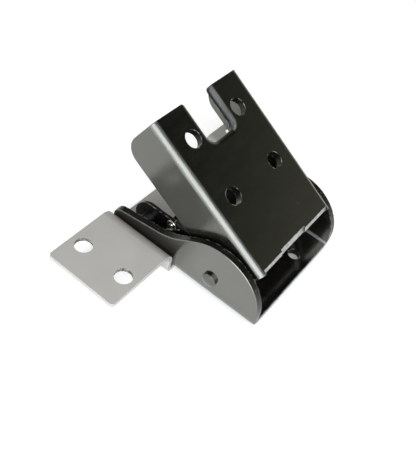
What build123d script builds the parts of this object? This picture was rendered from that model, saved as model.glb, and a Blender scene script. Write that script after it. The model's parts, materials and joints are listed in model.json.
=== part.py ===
from build123d import *
from math import atan2, cos, pi, radians, sin
import os

# Folding leg bracket: a channel base that a table leg's channel swings in,
# held to the panel by a bent strap across its narrow end.
# All sizes are in millimetres. X runs along the base from the strap to the
# pivot end, Y runs across it, and Z is up. The origin is the middle of the
# strap's four screw holes, on the face of the strap that meets the panel.
# The shapes are drawn about the base's own centre plane, and moved across at
# the end, because one wing of the strap is longer than the other.

# Strap
strap_thickness = 1.6
strap_length = 26.7          # along X
strap_wings = {"right": 29.4, "left": 19.5}   # base wall to the tip of each wing
strap_hole_inset = {"right": 10.3, "left": 6.3}   # hole row to the tip
strap_drop = 7.3             # panel face down to the top of the strap floor
strap_shoulder = 3.3         # inside radius of the upper bends
strap_bend = 1.0             # inside radius of the lower bends
strap_corner = 1.2
strap_hole = 6.0
strap_hole_x = 16.8          # hole spacing along X

# Base channel
sheet = 2.5
side_gap = 1.0               # room for a washer between leg and base
base_bend = 1.0              # inside bend radius
edge_round = 0.3             # rolled-over edge of the sheared sheet
pivot_x = 28.0               # pivot axis from the middle of the strap
pivot_height = 8.3           # pivot axis above the underside of the base
lobe_radius = 17.6           # rounded end of the side walls
lobe_ahead = 1.5             # lobe centre ahead of the pivot
lobe_height = 4.6            # lobe centre above the underside of the base
lobe_turn = 124.0            # degrees of the lobe arc before it runs down to the neck
neck_rise = 11.85             # top of the neck where it leaves the lobe
neck_start = 21.8            # that place, behind the pivot
neck_slope = 0.18
neck_blend = 20.0
nose_radius = 3.7
nose_behind = 37.2           # nose centre behind the pivot
nose_height = 5.65
neck_underside = 2.9         # underside of the neck where it leaves the base
neck_underside_start = 17.0
web_start = 15.0              # start of the full-width web, behind the pivot
tongue_width = 26.8
tongue_end = 27.0            # end of the web tongue, behind the pivot
web_hole = 4.5
web_hole_ahead = 13.2
web_hole_side = 9.4

# Leg channel, sized in its own frame: along the leg from the pivot,
# outward from the pivot to the web, and across
leg_width = 43.0
leg_bend = 0.3               # inside bend radius
leg_crease = 2.2             # outside radius, set sharp in the press
leg_web_out = 17.3           # pivot axis to the outer face of the web
leg_top = 49.4
leg_foot = 7.1               # leg end below the pivot
leg_ear = 5.4                # radius of the leg's ear about the pivot
leg_corner = 6.0             # rounded free corner of the leg's side walls
leg_angle = 150.0            # leg direction from +X in the photographed position
notch_width = 12.7
notch_floor = 34.0           # bottom of the notch above the pivot
notch_corner = 3.0
prong_corner = 1.6
leg_hole = 6.0
leg_hole_rows = (17.7, 38.8)
leg_hole_side = 11.8
foot_bevel = 1.4
relief_width = 14.2
relief_bevel = 2.1
relief_side = -1.6           # middle of the relief, across the leg

# Pivot rivets and washers
rivet_shank = 4.0
rivet_head = 5.2
rivet_dome = 1.6
rivet_shoulder = 0.9         # straight edge of the head below the dome
rivet_tail = 5.6
rivet_tail_height = 1.0
turn_gap = 0.06              # free play on a turning fit, on the radius
slip = 0.05                  # free play between turning faces
washer_od = 10.0
tail_washer_od = 7.4
tail_washer = 0.6

# Detent lever that rides on the leg's ears
lever_sheet = 1.2
lever_gap = 1.4              # lever cheek to the leg's wall, with the spring in it
lever_bend = 0.6
lever_pin_behind = 31.2
lever_pin_height = 5.55
lever_end = 6.1              # rounded end about the lever pin
lever_clear = 0.4            # cheeks' flat underside above the strap's floor
lever_web_start = 21.5       # behind the pivot
lever_web_end = 11.5
lever_pin = 3.0
lever_pin_inside = 2.4       # how far each pin reaches in from the cheek's outer face
spacer_od = 5.0
spacer_wall = 0.5
detent_pin = 3.2
detent_angle = 198.0         # where the detent pin meets the ear
detent_gap = 0.1
detent_end = 2.4             # rounded end of the lever about the detent pin
detent_depth = 0.35
detent_stops = (95.0, 180.0)   # leg directions in which the pin clicks in

# Spring
wire = 0.6
coil_radius = 1.65           # to the middle of the wire
coil_turns = 1
coil_pitch = 0.62
spring_lean = 33.0           # degrees that the spring's arms rise towards the pivot
spring_arms = (2.4, 3.1)     # length behind and ahead of the coil
post_diameter = 1.9
post_behind = 21.8
post_height = 10.2

# Strap rivets
strap_rivet = 3.0
strap_rivet_head = 5.0
strap_rivet_dome = 1.1
strap_rivet_behind = 20.6
strap_rivet_side = 8.0
strap_rivet_sink = 4.4

# Heights and faces worked out from the sizes above
base_under = -strap_drop
base_top = base_under + sheet
pivot_z = base_under + pivot_height
leg_inner = leg_width / 2 - sheet
base_inner = leg_width / 2 + side_gap
base_width = 2 * (base_inner + sheet)
lever_width = 2 * (leg_inner - lever_gap)
strap_inner = base_width / 2 + 0.2
strap_outer = strap_inner + strap_thickness
pivot = Vector(pivot_x, 0, pivot_z)
lever_pivot = Vector(pivot_x - lever_pin_behind, 0, base_under + lever_pin_height)
detent_reach = leg_ear + detent_pin / 2 + detent_gap
detent = pivot + Vector(
    detent_reach * cos(radians(detent_angle)), 0, detent_reach * sin(radians(detent_angle))
)
post = Vector(pivot_x - post_behind, 0, base_under + post_height)
sides = {"right": -1, "left": 1}
tips = {name: base_width / 2 + reach for name, reach in strap_wings.items()}
hole_rows = {name: sides[name] * (tips[name] - strap_hole_inset[name]) for name in sides}
hole_middle = (hole_rows["right"] + hole_rows["left"]) / 2


def across(sketch, y_from, y_to):
    """Solid of a side-view sketch, drawn in X and Z, between two Y positions."""
    low, high = min(y_from, y_to), max(y_from, y_to)
    face = Plane(origin=(0, low, 0), x_dir=(1, 0, 0), z_dir=(0, -1, 0)) * sketch
    return extrude(face, -(high - low))


def cross_rod(centre, radius, y_from, y_to):
    """Round bar along Y."""
    middle = (centre.X, (y_from + y_to) / 2, centre.Z)
    return Pos(*middle) * Rot(90, 0, 0) * Cylinder(radius, abs(y_to - y_from))


def rounded_rims(part, above):
    """A symmetric channel with its walls' outer sheared edges rounded, from a height upward."""
    walls = [
        face for face in part.faces().filter_by(GeomType.PLANE)
        if face.normal_at().dot(Vector(0, -1, 0)) > 0.999
    ]
    outermost = min(walls, key=lambda face: face.center().Y)
    rims = [edge for edge in outermost.outer_wire().edges() if edge.center().Z > above]
    half = fillet(rims, edge_round) & Pos(0, -100, 0) * Box(400, 200, 400)
    return half + mirror(half, Plane.XZ)


def channel_profile(width, height, thickness, inside, outside):
    """Channel section in Y and Z, web at the bottom, walls upward."""
    outer = Pos(0, height / 2) * Rectangle(width, height)
    inner = Pos(0, thickness + height / 2) * Rectangle(width - 2 * thickness, height)
    section = outer - inner
    low = section.vertices().group_by(Axis.Y)[0]
    section = fillet(low, outside)
    bottom_inner = [
        v for v in section.vertices()
        if abs(v.Y - thickness) < 1e-6 and abs(abs(v.X) - (width / 2 - thickness)) < 1e-6
    ]
    return fillet(bottom_inner, inside)


def side_outline(x_offset, z_offset):
    """Outline of the base's side walls, in X and Z."""
    centre = Vector(lobe_ahead, lobe_height)
    turn = radians(lobe_turn)
    leave = centre + Vector(lobe_radius * cos(turn), lobe_radius * sin(turn))
    heading = Vector(-sin(turn), cos(turn))
    line_z = neck_rise + neck_slope * (leave.X + neck_start)
    run = (leave.Y - line_z) / (neck_slope * heading.X - heading.Y)
    knee = leave + heading * run
    nose = Vector(-nose_behind, nose_height)
    lean = atan2(neck_slope, 1.0)
    nose_top = nose + Vector(-sin(lean), cos(lean)) * nose_radius
    nose_bottom = nose + Vector(0, -nose_radius)
    end_x = lobe_ahead + lobe_radius
    halfway = centre + Vector(cos(turn / 2), sin(turn / 2)) * lobe_radius
    far_side = nose + Vector(-nose_radius, 0)
    edges = Polyline((-web_start, 0), (end_x, 0), (end_x, lobe_height))
    edges += ThreePointArc((end_x, lobe_height), halfway, leave)
    edges += Polyline(leave, knee, nose_top)
    edges += ThreePointArc(nose_top, far_side, nose_bottom)
    edges += Polyline(nose_bottom, (-neck_underside_start, neck_underside), (-web_start, 0))
    face = make_face(edges)
    knee_corner = face.vertices().sort_by_distance((knee.X, knee.Y, 0))[0]
    face = fillet(knee_corner, neck_blend)
    under = face.vertices().sort_by_distance((-neck_underside_start, neck_underside, 0))[0]
    face = fillet(under, 3.0)
    return Pos(x_offset, z_offset) * face


def make_base():
    end_x = pivot_x + lobe_ahead + lobe_radius
    start_x = pivot_x - web_start
    section = channel_profile(base_width, 3 * pivot_height, sheet, base_bend, base_bend + sheet)
    run = Plane(origin=(start_x, 0, base_under), x_dir=(0, 1, 0), z_dir=(1, 0, 0)) * section
    outline = side_outline(pivot_x, base_under)
    channel = extrude(run, end_x - start_x) & across(outline, -base_width / 2, base_width / 2)
    wall_floor = base_under + sheet + base_bend
    for side in sides.values():
        wall = across(outline, side * base_inner, side * base_width / 2)
        lower = Pos((start_x + end_x) / 2, 0, wall_floor - 10) * Box(end_x - start_x, 80, 20)
        channel += wall - lower
    channel = rounded_rims(channel, base_under + neck_underside)
    tongue_x = pivot_x - tongue_end
    tongue = Pos((tongue_x + start_x) / 2, 0, base_under + sheet / 2) * Box(
        start_x - tongue_x, tongue_width, sheet
    )
    tongue = fillet(tongue.edges().filter_by(Axis.Z).group_by(Axis.X)[0], 3.0)
    base = channel + tongue
    for side in sides.values():
        base -= cross_rod(pivot, rivet_shank / 2, side * base_inner * 0.9, side * base_width)
        base -= Pos(pivot_x - strap_rivet_behind, side * strap_rivet_side, base_under) * Cylinder(
            strap_rivet / 2, 4 * sheet
        )
    hole_x = pivot_x + web_hole_ahead
    base -= Pos(hole_x, web_hole_side, base_under) * Cylinder(web_hole / 2, 4 * sheet)
    return base


def make_strap():
    depth = strap_thickness
    floor = -strap_drop
    outline = [
        (-tips["right"], 0),
        (-strap_outer, 0),
        (-strap_outer, floor - depth),
        (strap_outer, floor - depth),
        (strap_outer, 0),
        (tips["left"], 0),
        (tips["left"], depth),
        (strap_inner, depth),
        (strap_inner, floor),
        (-strap_inner, floor),
        (-strap_inner, depth),
        (-tips["right"], depth),
    ]
    section = make_face(Polyline(*outline, close=True))
    for side in sides.values():
        for y, z, radius in (
            (strap_outer, 0, strap_shoulder),
            (strap_inner, depth, strap_shoulder + depth),
            (strap_inner, floor, strap_bend),
            (strap_outer, floor - depth, strap_bend + depth),
        ):
            corner = section.vertices().sort_by_distance((side * y, z, 0))[0]
            section = fillet(corner, radius)
    face = Plane(origin=(-strap_length / 2, 0, 0), x_dir=(0, 1, 0), z_dir=(1, 0, 0)) * section
    strap = extrude(face, strap_length)
    ends = strap.edges().filter_by(Axis.Z)
    corners = ends.group_by(Axis.Y)[0] + ends.group_by(Axis.Y)[-1]
    strap = fillet(corners, strap_corner)
    for x in (-strap_hole_x / 2, strap_hole_x / 2):
        for y in hole_rows.values():
            strap -= Pos(x, y, 0) * Cylinder(strap_hole / 2, 4 * depth)
    for side in sides.values():
        spot = (pivot_x - strap_rivet_behind, side * strap_rivet_side)
        strap -= Pos(*spot, floor) * Cylinder(strap_rivet / 2, 4 * depth)
        sink = Cone(strap_rivet_sink / 2, strap_rivet / 2, depth * 0.6)
        strap -= Pos(*spot, floor - depth + depth * 0.3) * sink
    return strap


def leg_side():
    """Outline of the leg's side walls with the leg upright: X outward, Y along the leg."""
    face = make_face(Polyline(
        (0, 0), (0, leg_top), (leg_web_out, leg_top), (leg_web_out, -leg_foot), (0, -leg_ear),
        close=True,
    ))
    free = face.vertices().sort_by_distance((0, leg_top, 0))[0]
    face = fillet(free, leg_corner) + Circle(leg_ear)
    for stop in detent_stops:
        turned = radians(detent_angle + 90.0 - stop)
        reach = detent_reach - detent_gap - detent_depth
        face -= Pos(reach * cos(turned), reach * sin(turned)) * Circle(detent_pin / 2 + detent_gap)
    return face


def make_leg():
    section = channel_profile(leg_width, leg_web_out + leg_ear, sheet, leg_bend, leg_crease)
    low = Plane(origin=(leg_web_out, 0, -leg_foot), x_dir=(0, 1, 0), z_dir=(0, 0, 1)) * section
    low = extrude(low, leg_top + leg_foot)
    leg = low & across(leg_side(), -leg_width / 2, leg_width / 2)
    leg = rounded_rims(leg, leg_top - leg_corner)
    depth = 4 * sheet
    notch = Pos(leg_web_out, 0, (notch_floor + leg_top + 10) / 2) * Box(
        depth, notch_width, leg_top + 10 - notch_floor
    )
    notch = fillet(notch.edges().filter_by(Axis.X).group_by(Axis.Z)[0], notch_corner)
    leg -= notch
    prongs = [
        e for e in leg.edges().filter_by(Axis.X)
        if abs(e.center().Z - leg_top) < 1e-3 and abs(abs(e.center().Y) - notch_width / 2) < 1e-3
    ]
    leg = fillet(prongs, prong_corner)
    for height in leg_hole_rows:
        for side in sides.values():
            hole = Rot(0, 90, 0) * Cylinder(leg_hole / 2, depth)
            leg -= Pos(leg_web_out, side * leg_hole_side, height) * hole
    flat = leg_width - 2 * leg_crease
    for middle, width, size in ((0, flat, foot_bevel), (relief_side, relief_width, relief_bevel)):
        wedge = make_face(Polyline((0, 0), (-size, 0), (0, size), close=True))
        bevel = across(wedge, middle - width / 2, middle + width / 2)
        leg -= Pos(leg_web_out, 0, -leg_foot) * bevel
    bore = rivet_shank / 2 + turn_gap
    for side in sides.values():
        leg -= cross_rod(Vector(0, 0, 0), bore, side * leg_inner * 0.9, side * leg_width)
    return Pos(*pivot) * Rot(0, 90.0 - leg_angle, 0) * leg


def make_pivot_rivet(side):
    """Domed head outside the base wall, shank through the leg, formed tail inside."""
    head_face = base_width / 2
    rim = head_face + rivet_shoulder
    tail_face = leg_inner - tail_washer - 2 * slip
    tail_end = tail_face - rivet_tail_height
    head = rivet_head / 2
    tail = rivet_tail / 2
    shank = rivet_shank / 2
    outline = Polyline(
        (0, head_face + rivet_dome), (0, tail_end), (tail - 0.4, tail_end), (tail, tail_end + 0.4),
        (tail, tail_face), (shank, tail_face), (shank, head_face), (head, head_face), (head, rim),
    )
    outline += TangentArc((0, head_face + rivet_dome), (head, rim), tangent=(1, 0))
    rivet = revolve(make_face(outline), Axis.Y)
    if side < 0:
        rivet = mirror(rivet, Plane.XZ)
    return Pos(pivot.X, 0, pivot.Z) * rivet


def ring(centre, outer, inner, y_from, y_to):
    """Plain washer or tube about an axis along Y."""
    bore = cross_rod(centre, inner, y_from * 0.9, y_to * 1.1)
    return cross_rod(centre, outer, y_from, y_to) - bore


def lever_side():
    """Outline of the lever's cheeks in X and Z."""
    left, right = lever_pivot, detent
    top = left.Z + lever_end
    shoulder = pivot_x - lever_web_end
    underside = right.Z - detent_end
    blend = make_face(Polyline(
        (left.X, left.Z - lever_end), (pivot_x - lever_web_start, underside), (right.X, underside),
        (right.X + detent_end, right.Z), (shoulder + 1.0, top), (left.X, top), close=True,
    ))
    upper = blend.vertices().sort_by_distance((shoulder + 1.0, top, 0))[0]
    blend = fillet(upper, 4.0)
    body = blend + Pos(left.X, left.Z) * Circle(lever_end)
    body += Pos(right.X, right.Z) * Circle(detent_end)
    below = base_under + lever_clear - lever_end
    return body - Pos(left.X, below) * Rectangle(4 * lever_end, 2 * lever_end)


def make_lever():
    outline = lever_side()
    half = lever_width / 2
    top = lever_pivot.Z + lever_end
    start, end = pivot_x - lever_web_start, pivot_x - lever_web_end
    section = channel_profile(
        lever_width, 2 * lever_end, lever_sheet, lever_bend, lever_bend + lever_sheet
    )
    place = Plane(origin=(start, 0, top), x_dir=(0, -1, 0), z_dir=(1, 0, 0))
    lever = extrude(place * section, end - start) & across(outline, -half, half)
    bend_zone = Pos((start + end) / 2, 0, top) * Box(
        end - start, 2 * lever_width, 2 * (lever_sheet + lever_bend)
    )
    for side in sides.values():
        lever += across(outline, side * (half - lever_sheet), side * half) - bend_zone
    for side in sides.values():
        span = (side * (half - lever_sheet) * 0.9, side * half * 1.1)
        lever -= cross_rod(lever_pivot, lever_pin / 2 + turn_gap, *span)
        lever -= cross_rod(detent, detent_pin / 2, *span)
    lever -= cross_rod(post, post_diameter / 2, -half * 1.1, -(half - lever_sheet) * 0.9)
    return lever


def make_spring():
    """One coil round the post, its two arms in one line beside the cheek."""
    face = -lever_width / 2 - wire / 2 - slip
    start = radians(spring_lean - 90.0)
    steps = 24 * coil_turns
    points = []
    for step in range(steps + 1):
        angle = start - 2 * pi * coil_turns * step / steps
        out = face - coil_pitch * coil_turns * step / steps
        points.append(post + Vector(coil_radius * cos(angle), out, coil_radius * sin(angle)))
    rise = Vector(cos(radians(spring_lean)), 0, sin(radians(spring_lean)))
    behind, ahead = spring_arms
    thirds = (1 / 3, 2 / 3, 1)
    first = [points[0] + rise * ahead * part for part in reversed(thirds)]
    last = [points[-1] - rise * behind * part for part in thirds]
    path = Spline(*first, *points, *last)
    section = Plane(origin=path @ 0, z_dir=path % 0) * Circle(wire / 2)
    return sweep(section, path=path)


def make_post():
    half = lever_width / 2
    outer = half + slip + wire + coil_pitch * coil_turns
    radius = post_diameter / 2
    outline = Polyline(
        (0, -outer), (radius - 0.3, -outer), (radius, -outer + 0.3), (radius, -half + lever_sheet),
        (0, -half + lever_sheet), close=True,
    )
    return Pos(post.X, 0, post.Z) * revolve(make_face(outline), Axis.Y)


def make_strap_rivet(side):
    """Flush underneath the strap, domed head on the base's tongue."""
    bottom = base_under - strap_thickness
    rim = base_top + 0.2
    crown = base_top + strap_rivet_dome
    head = strap_rivet_head / 2
    shank = strap_rivet / 2
    sink = strap_rivet_sink / 2
    outline = Polyline(
        (0, crown), (0, bottom), (sink, bottom), (shank, bottom + strap_thickness * 0.6),
        (shank, base_top), (head, base_top), (head, rim),
    )
    outline += TangentArc((0, crown), (head, rim), tangent=(1, 0))
    rivet = revolve(Plane.XZ * make_face(outline), Axis.Z)
    return Pos(pivot_x - strap_rivet_behind, side * strap_rivet_side, 0) * rivet


def make_parts():
    parts = {
        "base_channel": make_base(),
        "mounting_strap": make_strap(),
        "leg_channel": make_leg(),
        "detent_lever": make_lever(),
        "detent_pin": cross_rod(detent, detent_pin / 2, -leg_width / 2 + 0.2, leg_width / 2 - 0.2),
        "spring_post": make_post(),
        "detent_spring": make_spring(),
    }
    for name, side in sides.items():
        parts["pivot_rivet_" + name] = make_pivot_rivet(side)
        parts["strap_rivet_" + name] = make_strap_rivet(side)
        parts["pivot_washer_" + name] = ring(
            pivot, washer_od / 2, rivet_shank / 2 + turn_gap,
            side * (leg_width / 2 + slip), side * (base_inner - slip),
        )
        parts["tail_washer_" + name] = ring(
            pivot, tail_washer_od / 2, rivet_shank / 2 + turn_gap,
            side * (leg_inner - slip - tail_washer), side * (leg_inner - slip),
        )
        parts["lever_pin_" + name] = cross_rod(
            lever_pivot, lever_pin / 2, side * (lever_width / 2 - lever_pin_inside), side * base_inner
        )
        parts["lever_spacer_" + name] = ring(
            lever_pivot, spacer_od / 2, spacer_od / 2 - spacer_wall,
            side * (lever_width / 2 + slip), side * (base_inner - slip),
        )
    return parts


os.makedirs("parts", exist_ok=True)
for name, part in make_parts().items():
    solid = Pos(0, -hole_middle, 0) * part
    solid.label = name
    export_step(solid, "parts/" + name + ".step")
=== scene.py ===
import bpy
import json
from math import cos, pi, radians, sin
from mathutils import Euler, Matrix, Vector


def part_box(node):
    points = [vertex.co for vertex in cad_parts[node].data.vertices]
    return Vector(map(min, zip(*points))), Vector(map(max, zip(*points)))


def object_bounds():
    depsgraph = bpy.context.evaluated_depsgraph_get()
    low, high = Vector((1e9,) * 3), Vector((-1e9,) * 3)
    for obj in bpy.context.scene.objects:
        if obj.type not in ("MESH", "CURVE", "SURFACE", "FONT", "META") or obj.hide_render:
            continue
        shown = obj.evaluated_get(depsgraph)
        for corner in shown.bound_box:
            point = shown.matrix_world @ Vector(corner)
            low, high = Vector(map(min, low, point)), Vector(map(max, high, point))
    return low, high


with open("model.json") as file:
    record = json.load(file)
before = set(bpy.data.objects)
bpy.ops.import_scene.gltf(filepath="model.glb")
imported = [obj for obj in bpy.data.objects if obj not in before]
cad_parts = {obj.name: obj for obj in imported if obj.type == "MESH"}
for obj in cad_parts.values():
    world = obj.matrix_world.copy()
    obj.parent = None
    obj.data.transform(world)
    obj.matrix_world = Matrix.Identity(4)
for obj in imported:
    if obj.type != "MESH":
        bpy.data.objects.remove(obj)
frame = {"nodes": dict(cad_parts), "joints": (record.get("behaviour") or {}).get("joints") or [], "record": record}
cad_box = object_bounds()
nodes = frame["nodes"]


def grey(value, warm=0.0):
    """A grey whose red is raised and blue lowered by the share `warm`."""
    return (value * (1.0 + warm), value, value * (1.0 - warm), 1.0)


# Sizes and places are in metres, in the model's own frame.
MM = 0.001

# Camera, with the photograph's frame in pixels and the sensor in millimetres
PHOTO_WIDTH, PHOTO_HEIGHT = 416, 454
FOCAL_PIXELS = 648.7
SENSOR = 36.0
CAMERA_PLACE = (0.07531, -0.13942, 0.16403)
CAMERA_TURN = (0.7126, -0.19789, 0.64929)
NEAREST_SEEN = 0.01

# Directions in the bracket as it is stored
ACROSS = (0.0, 1.0, 0.0)
ALONG_BASE = (1.0, 0.0, 0.0)
UP = (0.0, 0.0, 1.0)
LEG_ANGLE = radians(150.0)
ALONG_LEG = (cos(LEG_ANGLE), 0.0, sin(LEG_ANGLE))
LEG_UP = (sin(LEG_ANGLE), 0.0, -cos(LEG_ANGLE))

# Zones that the finishes follow
BASE_SHEET = 2.5 * MM
BASE_BEND = 1.0 * MM          # inside radius of the bends beside the base's web
WALL_ZONE = 6.0 * MM          # from the leg's outer face inward, past its wall and bend
FOOT_ZONE = 2.75 * MM         # from the pivot along the leg, and the foot is all below it
HOLE_MARGIN = 0.5 * MM        # round each screw hole of the strap, to take in its wall

# How square-on a face is, from 0 to 1, where each kind of face begins and is complete
BEND_FACING = (0.05, 0.3)
CUT_FACING = (0.2, 0.6)
WALL_EDGE_FACING = (0.6, 0.2)
FOOT_FACING = (0.5, 0.7)
BORE_FACING = (0.5, 0.2)
END_FACING = (0.8, 0.95)

# Cosine between the true surface and one with rounded edges, where wear begins and is complete
EDGE_BEND = (0.99, 0.82)
EDGE_SAMPLES = 6

# Range that holds most values of a noise
MIDDLE = (0.3, 0.7)

# Black paint: a colour for each mark, and the range of its noise over which it comes in
PAINT_CLOUDS = (grey(0.0021, 0.06), grey(0.0045, 0.08))
# Painted highlight along the bends: its warmth, and its least share between the streaks
BEND_HIGHLIGHT_WARMTH, LEAST_BEND_HIGHLIGHT = -0.02, 0.4
FLECK_COLOUR, FLECKS = grey(0.2, 0.02), (0.83, 0.86)
SPECK_COLOUR, SPECKS = grey(0.12, 0.02), (0.64, 0.72)
WORN_COLOUR, WORN = grey(0.5, 0.01), (0.47, 0.6)
RUBBED_COLOUR, RUBBED, LEAST_RUBBED = grey(0.26, 0.01), (0.4, 0.6), 0.5
SCUFFS, SMOOTHEST, ROUGHEST = (0.3, 0.8), 0.8, 1.5   # the last two times the paint's roughness
WARM_GLOSS = (1.0, 1.0, 0.91, 1.0)
PAINT_SPECULAR, SHEARED_SPECULAR = 0.5, 0.07
SHEARED_ROUGHER, WORN_ROUGHER, FOLDED_ROUGHER = 0.12, 0.15, 0.12
PAINT_EDGE = 0.35 * MM
PEEL_DEPTH, GRIT_DEPTH = 0.012 * MM, 0.12 * MM

# Zinc plate
ZINC_CLOUDS = (grey(0.45, 0.025), grey(0.5, 0.035))
ZINC_EDGE_COLOUR, ZINC_EDGE_WEAR = grey(0.8), 0.6
# Painted shade on the walls of the screw holes: its colour, and the range of grain over which it comes in
ZINC_BORE_SHADE_COLOUR, ZINC_BORE_SHADE = grey(0.04, 0.2), (0.35, 0.55)
ZINC_ROUGHNESS, ZINC_GRAIN_ROUGHER = (0.4, 0.48), 0.08
ZINC_METALLIC = 0.35
ZINC_EDGE = 0.3 * MM
ZINC_DEPTH = 0.01 * MM

# Plain steel: its tones as shares of its level, and its roughness as shares of the given one
STEEL_DARK, STEEL_LIGHT, STEEL_WORN = 0.8, 1.2, 1.6
STEEL_WARMTH = 0.01
STEEL_SMOOTH, STEEL_ROUGH = 0.8, 1.25
BRIGHTEST_STEEL, BRIGHTEST_EDGE = 1.0, 0.9
STEEL_EDGE = 0.15 * MM
STEEL_DEPTH = 0.008 * MM

# Floor, which glows just enough to show white, and glows less close to the object, a painted shadow
FLOOR_HALF = 1.5
FLOOR_CLOUD = 0.4
FLOOR_MOTTLE = (grey(0.86), grey(0.88))
FLOOR_ROUGHNESS = 0.9
FLOOR_GLOW = 0.42
CONTACT_GLOW = 0.06           # what is left of it where the object stands, as the camera sees it
BACKDROP_GLOW = 0.5           # added in the distance
BACKDROP = (0.3, 0.8)         # distances where that begins and is complete
SEEN_REACH, SEEN_OPEN = 7.0 * MM, (0.0, 0.7)            # as the camera sees the floor
MIRRORED_REACH, MIRRORED_OPEN = 16.0 * MM, (0.1, 0.7)   # as the paint mirrors it

# Light
WHITE = (1.0, 1.0, 1.0)
COOL_WHITE = (0.96, 1.0, 1.03)
HORIZON = (0.66, 0.68, 0.53, 1.0)
OVERHEAD = grey(0.005)
FADE_BEGINS, FADE_ENDS = 0.1, 0.65    # sine of the elevation, from the horizon to overhead

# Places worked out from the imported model
base_low, base_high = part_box("base_channel")
leg_low, leg_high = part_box("leg_channel")
pivot = next(joint["pos_m"] for joint in frame["joints"] if joint["name"] == "leg_fold")
holes = next(row["dims"] for row in frame["record"]["mounts"] if row["name"] == "strap_holes")
centre_y = (base_low.y + base_high.y) / 2
inside_walls = (leg_high.y - leg_low.y) / 2 - WALL_ZONE
web_top = base_low.z + BASE_SHEET + BASE_BEND
leg_foot = Vector(pivot).dot(Vector(ALONG_LEG)) + FOOT_ZONE
hole_reach = holes["hole_r_mm"] * MM + HOLE_MARGIN
hole_row_y = holes["spacing_y_mm"] * MM / 2
holes_end_x = holes["spacing_x_mm"] * MM / 2 + hole_reach


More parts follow.
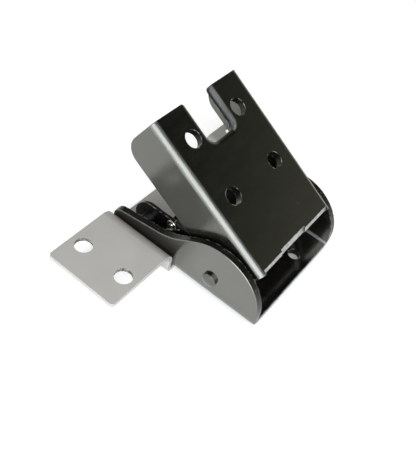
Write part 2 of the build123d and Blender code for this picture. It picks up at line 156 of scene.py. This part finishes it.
class Shader:
    """One procedural material and the nodes that it is made of."""

    def __init__(self, name):
        self.material = bpy.data.materials.new(name)
        self.material.use_nodes = True
        self.tree = self.material.node_tree
        self.tree.nodes.clear()
        output = self.node("OutputMaterial")
        self.surface = self.node("BsdfPrincipled")
        self.link(self.surface.outputs[0], output.inputs["Surface"])
        self.place = self.node("TexCoord")

    def node(self, kind):
        return self.tree.nodes.new("ShaderNode" + kind)

    def link(self, source, target):
        self.tree.links.new(source, target)

    def fill(self, socket, value):
        """Links another node's output to a socket, or sets the socket to a plain value."""
        if isinstance(value, bpy.types.NodeSocket):
            self.link(value, socket)
        else:
            socket.default_value = value

    def finish(self, **values):
        """Fills the surface's sockets by name and gives the material."""
        for name, value in values.items():
            self.fill(self.surface.inputs[name.replace("_", " ")], value)
        return self.material

    def noise(self, feature, detail=3.0, rough=0.5, stretch=(1.0, 1.0, 1.0)):
        """Noise whose blobs are about `feature` metres across, from 0 to 1."""
        mapping = self.node("Mapping")
        mapping.inputs["Scale"].default_value = [s / feature for s in stretch]
        self.link(self.place.outputs["Object"], mapping.inputs["Vector"])
        noise = self.node("TexNoise")
        noise.inputs["Scale"].default_value = 1.0
        noise.inputs["Detail"].default_value = detail
        noise.inputs["Roughness"].default_value = rough
        self.link(mapping.outputs["Vector"], noise.inputs["Vector"])
        return noise.outputs["Fac"]

    def math(self, kind, first, second=0.0):
        node = self.node("Math")
        node.operation = kind
        self.fill(node.inputs[0], first)
        self.fill(node.inputs[1], second)
        return node.outputs[0]

    def dot(self, first, second):
        node = self.node("VectorMath")
        node.operation = "DOT_PRODUCT"
        self.fill(node.inputs[0], first)
        self.fill(node.inputs[1], second)
        return node.outputs["Value"]

    def span(self, value, low, high, to_low=0.0, to_high=1.0):
        """Rescales a value from one range to another, and stops at its ends."""
        node = self.node("MapRange")
        self.fill(node.inputs["Value"], value)
        node.inputs["From Min"].default_value = low
        node.inputs["From Max"].default_value = high
        node.inputs["To Min"].default_value = to_low
        node.inputs["To Max"].default_value = to_high
        return node.outputs["Result"]

    def blend(self, factor, first, second):
        """Colour that turns from the first to the second as the factor rises."""
        node = self.node("Mix")
        node.data_type = "RGBA"
        self.fill(node.inputs["Factor"], factor)
        self.fill(node.inputs[6], first)
        self.fill(node.inputs[7], second)
        return node.outputs[2]

    def coordinate(self, axis):
        """Place of the surface at rest along X, Y or Z."""
        node = self.node("SeparateXYZ")
        self.link(self.place.outputs["Object"], node.inputs[0])
        return node.outputs[axis]

    def facing(self, direction):
        """How far the surface at rest looks along a direction or its opposite, 0 to 1."""
        return self.math("ABSOLUTE", self.dot(self.place.outputs["Normal"], direction))

    def bends(self, up):
        """1 where the sheet turns between its web, which looks up, and its side walls."""
        turned = self.math("MULTIPLY", self.facing(ACROSS), self.facing(up))
        return self.span(turned, *BEND_FACING)

    def cut_face(self):
        """1 on faces across Y that lie between the side walls: the sides of holes and notches."""
        off_centre = self.math("ABSOLUTE", self.math("SUBTRACT", self.coordinate("Y"), centre_y))
        between = self.math("LESS_THAN", off_centre, inside_walls)
        return self.math("MULTIPLY", between, self.span(self.facing(ACROSS), *CUT_FACING))

    def edge_above(self, height):
        """1 on faces along Y that lie above a height: the sheared edges of the side walls."""
        above = self.math("GREATER_THAN", self.coordinate("Z"), height)
        return self.math("MULTIPLY", above, self.span(self.facing(ACROSS), *WALL_EDGE_FACING))

    def end_face(self, along, limit):
        """1 on faces across a direction whose place along it is below a limit."""
        near = self.math("LESS_THAN", self.dot(self.place.outputs["Object"], along), limit)
        return self.math("MULTIPLY", near, self.span(self.facing(along), *FOOT_FACING))

    def bores(self):
        """1 on the walls of the strap's screw holes."""
        off_row = self.math("SUBTRACT", self.math("ABSOLUTE", self.coordinate("Y")), hole_row_y)
        in_row = self.math("LESS_THAN", self.math("ABSOLUTE", off_row), hole_reach)
        along = self.math("ABSOLUTE", self.coordinate("X"))
        inside = self.math("MULTIPLY", in_row, self.math("LESS_THAN", along, holes_end_x))
        return self.math("MULTIPLY", inside, self.span(self.facing(UP), *BORE_FACING))

    def edges(self, radius):
        """1 close to a sharp edge and 0 away from it."""
        rounded = self.node("Bevel")
        rounded.samples = EDGE_SAMPLES
        rounded.inputs["Radius"].default_value = radius
        true_form = self.node("NewGeometry")
        return self.span(self.dot(rounded.outputs["Normal"], true_form.outputs["Normal"]), *EDGE_BEND)

    def openness(self, reach):
        """1 where nothing is within `reach` metres above the surface, towards 0 under the object."""
        node = self.node("AmbientOcclusion")
        node.inputs["Distance"].default_value = reach
        return node.outputs["AO"]

    def bump(self, height, depth, under=None):
        """Relief of a depth in metres, on top of the relief `under` it if there is one."""
        node = self.node("Bump")
        node.inputs["Distance"].default_value = depth
        self.link(height, node.inputs["Height"])
        if under is not None:
            self.link(under, node.inputs["Normal"])
        return node.outputs["Normal"]


def black_paint(
    name, along, up, roughness=0.12, index=2.3, bend_highlight_level=0.11, wall_edges=None, rubbed_end=None
):
    """Glossy black paint over sheet steel, thin and rough on the sheared edges and rough along the bends, with a
    painted highlight along the bends.

    The sheet runs `along` a direction, and its web looks `up`.
    The bend level argument is the grey of a painted highlight along the bends.
    `wall_edges` is the height above which every face along Y is a sheared edge,
    and end faces that lie less far along the sheet than `rubbed_end` are rubbed bare.
    """
    s = Shader(name)
    peel = s.noise(feature=1.1 * MM, detail=2.0)
    grit = s.noise(feature=0.45 * MM, detail=4.0, rough=0.65)
    scuffs = s.noise(feature=3.5 * MM, detail=5.0, rough=0.7, stretch=(1.0, 0.35, 1.0))
    chips = s.noise(feature=1.4 * MM, detail=4.0)
    highlight_streaks = s.noise(feature=0.8 * MM, rough=0.6, stretch=(0.12, 1.0, 0.12))

    sheared = s.math("MAXIMUM", s.span(s.facing(along), *END_FACING), s.cut_face())
    if wall_edges is not None:
        sheared = s.math("MAXIMUM", sheared, s.edge_above(wall_edges))
    # Painted highlight along the bends, in streaks; the same zone is also made rougher.
    bend_highlight_zone = s.math("MULTIPLY", s.bends(up), s.span(highlight_streaks, *MIDDLE, to_low=LEAST_BEND_HIGHLIGHT))
    flecks = s.span(s.noise(feature=1.6 * MM, detail=1.0), *FLECKS)
    specks = s.span(s.noise(feature=0.9 * MM, rough=0.6), *SPECKS)
    worn = s.math("MULTIPLY", s.edges(PAINT_EDGE), s.span(chips, *WORN))
    marks = [
        (bend_highlight_zone, grey(bend_highlight_level, BEND_HIGHLIGHT_WARMTH)),
        (flecks, FLECK_COLOUR),
        (s.math("MULTIPLY", sheared, specks), SPECK_COLOUR),
        (worn, WORN_COLOUR),
    ]
    if rubbed_end is not None:
        patchy = s.span(chips, *RUBBED, to_low=LEAST_RUBBED)
        marks.append((s.math("MULTIPLY", s.end_face(along, rubbed_end), patchy), RUBBED_COLOUR))
    colour = s.blend(s.noise(feature=18.0 * MM), *PAINT_CLOUDS)
    for mark, shade in marks:
        colour = s.blend(mark, colour, shade)

    rough = s.span(scuffs, *SCUFFS, SMOOTHEST * roughness, ROUGHEST * roughness)
    for mark, added in (
        (sheared, SHEARED_ROUGHER), (worn, WORN_ROUGHER), (bend_highlight_zone, FOLDED_ROUGHER)
    ):
        rough = s.math("ADD", rough, s.math("MULTIPLY", mark, added))
    fine = s.bump(peel, PEEL_DEPTH)
    return s.finish(
        Base_Color=colour,
        Roughness=rough,
        IOR=index,
        Specular_IOR_Level=s.span(sheared, 0.0, 1.0, PAINT_SPECULAR, SHEARED_SPECULAR),
        Specular_Tint=WARM_GLOSS,
        Normal=s.bump(s.math("MULTIPLY", grit, sheared), GRIT_DEPTH, under=fine),
    )


def zinc(name):
    """Satin zinc plate over rolled strip, with faint rolling lines and painted shade on the walls of its screw
    holes.
    """
    s = Shader(name)
    cloud = s.noise(feature=9.0 * MM, detail=4.0)
    rolled = s.noise(feature=0.6 * MM, stretch=(1.0, 0.04, 1.0))
    grain = s.noise(feature=0.4 * MM)
    worn = s.math("MULTIPLY", s.edges(ZINC_EDGE), ZINC_EDGE_WEAR)
    # Painted shade, in speckles, on the walls of the screw holes.
    dark = s.math("MULTIPLY", s.bores(), s.span(grain, *ZINC_BORE_SHADE))
    colour = s.blend(cloud, *ZINC_CLOUDS)
    colour = s.blend(worn, colour, ZINC_EDGE_COLOUR)
    colour = s.blend(dark, colour, ZINC_BORE_SHADE_COLOUR)
    clouded = s.span(cloud, *MIDDLE, *ZINC_ROUGHNESS)
    grained = s.span(grain, *MIDDLE, to_high=ZINC_GRAIN_ROUGHER)
    return s.finish(
        Base_Color=colour,
        Roughness=s.math("ADD", clouded, grained),
        Metallic=ZINC_METALLIC,
        Normal=s.bump(rolled, ZINC_DEPTH, under=s.bump(grain, ZINC_DEPTH)),
    )


def steel(name, level, rough, wear=0.5):
    """Plain, plated or blackened steel for small turned and formed pieces."""
    s = Shader(name)
    cloud = s.noise(feature=1.8 * MM, detail=4.0)
    grain = s.noise(feature=0.2 * MM)
    dark = grey(STEEL_DARK * level, STEEL_WARMTH)
    light = grey(min(STEEL_LIGHT * level, BRIGHTEST_STEEL), STEEL_WARMTH)
    bare = grey(min(STEEL_WORN * level, BRIGHTEST_EDGE))
    colour = s.blend(cloud, dark, light)
    colour = s.blend(s.math("MULTIPLY", s.edges(STEEL_EDGE), wear), colour, bare)
    return s.finish(
        Base_Color=colour,
        Roughness=s.span(cloud, *MIDDLE, STEEL_SMOOTH * rough, STEEL_ROUGH * rough),
        Metallic=1.0,
        Normal=s.bump(grain, STEEL_DEPTH),
    )


finishes = {
    "base_paint": black_paint("base_paint", ALONG_BASE, UP, wall_edges=web_top),
    "leg_paint": black_paint(
        "leg_paint", ALONG_LEG, LEG_UP, roughness=0.2, index=2.12, rubbed_end=leg_foot
    ),
    "lever_paint": black_paint(
        "lever_paint", ALONG_BASE, UP, roughness=0.28, index=1.5, bend_highlight_level=0.003
    ),
    "strap_zinc": zinc("strap_zinc"),
    "rivet_paint": steel("rivet_paint", level=0.13, rough=0.17, wear=0.9),
    "pin_steel": steel("pin_steel", level=0.4, rough=0.25),
    "spring_wire": steel("spring_wire", level=0.75, rough=0.25),
    "washer_steel": steel("washer_steel", level=0.4, rough=0.35),
    "spacer_steel": steel("spacer_steel", level=0.1, rough=0.35),
    "strap_rivet_steel": steel("strap_rivet_steel", level=0.5, rough=0.35),
}
for part in frame["record"]["subparts"]:
    mesh = nodes[part["node"]].data
    mesh.materials.clear()
    mesh.materials.append(finishes[part["material_slot"]])


def floor_material():
    """White floor that stays white to the camera and in reflections, and keeps the shadow; its glow is dimmed
    close to the object as a painted shadow.
    """
    s = Shader("pale_floor")
    path = s.node("LightPath")
    distance = s.node("VectorMath")
    distance.operation = "LENGTH"
    s.link(s.place.outputs["Object"], distance.inputs[0])
    backdrop = s.span(distance.outputs["Value"], *BACKDROP, to_high=BACKDROP_GLOW)
    # Painted shadow: the glow dims where the object is close above the floor, as seen and as mirrored.
    near_seen = s.span(s.openness(SEEN_REACH), *SEEN_OPEN, CONTACT_GLOW, FLOOR_GLOW)
    near_mirrored = s.span(s.openness(MIRRORED_REACH), *MIRRORED_OPEN, to_high=FLOOR_GLOW)
    seen = s.math("ADD", backdrop, near_seen)
    mirrored = s.math("ADD", backdrop, near_mirrored)
    by_gloss = s.math("MAXIMUM", path.outputs["Is Glossy Ray"], path.outputs["Is Transmission Ray"])
    glow = s.math(
        "ADD",
        s.math("MULTIPLY", path.outputs["Is Camera Ray"], seen),
        s.math("MULTIPLY", by_gloss, mirrored),
    )
    return s.finish(
        Base_Color=s.blend(s.noise(feature=FLOOR_CLOUD), *FLOOR_MOTTLE),
        Roughness=FLOOR_ROUGHNESS,
        Specular_IOR_Level=0.0,
        Emission_Color=grey(1.0),
        Emission_Strength=glow,
    )


def make_floor(height):
    mesh = bpy.data.meshes.new("floor")
    signs = [(-1, -1), (1, -1), (1, 1), (-1, 1)]
    mesh.from_pydata([(x * FLOOR_HALF, y * FLOOR_HALF, height) for x, y in signs], [], [(0, 1, 2, 3)])
    mesh.materials.append(floor_material())
    floor = bpy.data.objects.new("floor", mesh)
    bpy.context.scene.collection.objects.link(floor)


def make_softbox(name, aim, azimuth, elevation, distance, width, height, radiance, colour):
    """Area light that faces `aim`. Angles are in degrees, with azimuth 0 at +X and 90 at +Y."""
    data = bpy.data.lights.new(name, "AREA")
    data.shape = "RECTANGLE"
    data.size, data.size_y = width, height
    data.energy = radiance * pi * width * height
    data.color = colour
    lamp = bpy.data.objects.new(name, data)
    bpy.context.scene.collection.objects.link(lamp)
    a, e = radians(azimuth), radians(elevation)
    away = Vector((cos(a) * cos(e), sin(a) * cos(e), sin(e)))
    lamp.location = aim + away * distance
    lamp.rotation_mode = "QUATERNION"
    lamp.rotation_quaternion = away.to_track_quat("Z", "Y")


def make_world():
    """White to the camera; to the object, a room that is pale at the horizon and dark overhead."""
    world = bpy.data.worlds.new("studio")
    bpy.context.scene.world = world
    world.use_nodes = True
    tree = world.node_tree
    tree.nodes.clear()
    output = tree.nodes.new("ShaderNodeOutputWorld")
    shown = tree.nodes.new("ShaderNodeBackground")
    room = tree.nodes.new("ShaderNodeBackground")
    path = tree.nodes.new("ShaderNodeLightPath")
    mix = tree.nodes.new("ShaderNodeMixShader")
    place = tree.nodes.new("ShaderNodeTexCoord")
    height = tree.nodes.new("ShaderNodeSeparateXYZ")
    fade = tree.nodes.new("ShaderNodeValToRGB")
    shown.inputs["Color"].default_value = grey(1.0)
    stops = ((FADE_BEGINS, HORIZON), (FADE_ENDS, OVERHEAD))
    for stop, (position, colour) in zip(fade.color_ramp.elements, stops):
        stop.position = position
        stop.color = colour
    tree.links.new(place.outputs["Generated"], height.inputs[0])
    tree.links.new(height.outputs["Z"], fade.inputs["Fac"])
    tree.links.new(fade.outputs["Color"], room.inputs["Color"])
    tree.links.new(path.outputs["Is Camera Ray"], mix.inputs["Fac"])
    tree.links.new(room.outputs[0], mix.inputs[1])
    tree.links.new(shown.outputs[0], mix.inputs[2])
    tree.links.new(mix.outputs[0], output.inputs["Surface"])


def make_camera():
    data = bpy.data.cameras.new("camera")
    data.sensor_width = SENSOR
    data.lens = SENSOR * FOCAL_PIXELS / max(PHOTO_WIDTH, PHOTO_HEIGHT)
    data.clip_start = NEAREST_SEEN
    camera = bpy.data.objects.new("camera", data)
    bpy.context.scene.collection.objects.link(camera)
    camera.location = CAMERA_PLACE
    camera.rotation_euler = Euler(CAMERA_TURN, "XYZ")
    bpy.context.scene.camera = camera


middle = (cad_box[0] + cad_box[1]) / 2
make_floor(cad_box[0].z)
make_world()
make_softbox(
    "front_box", middle, azimuth=-62.0, elevation=27.0, distance=0.9,
    width=1.0, height=0.95, radiance=4.8, colour=COOL_WHITE,
)
make_softbox(
    "top_box", middle, azimuth=180.0, elevation=80.0, distance=1.0,
    width=0.7, height=0.7, radiance=2.4, colour=WHITE,
)
make_camera()
bpy.context.scene.view_settings.view_transform = "Standard"
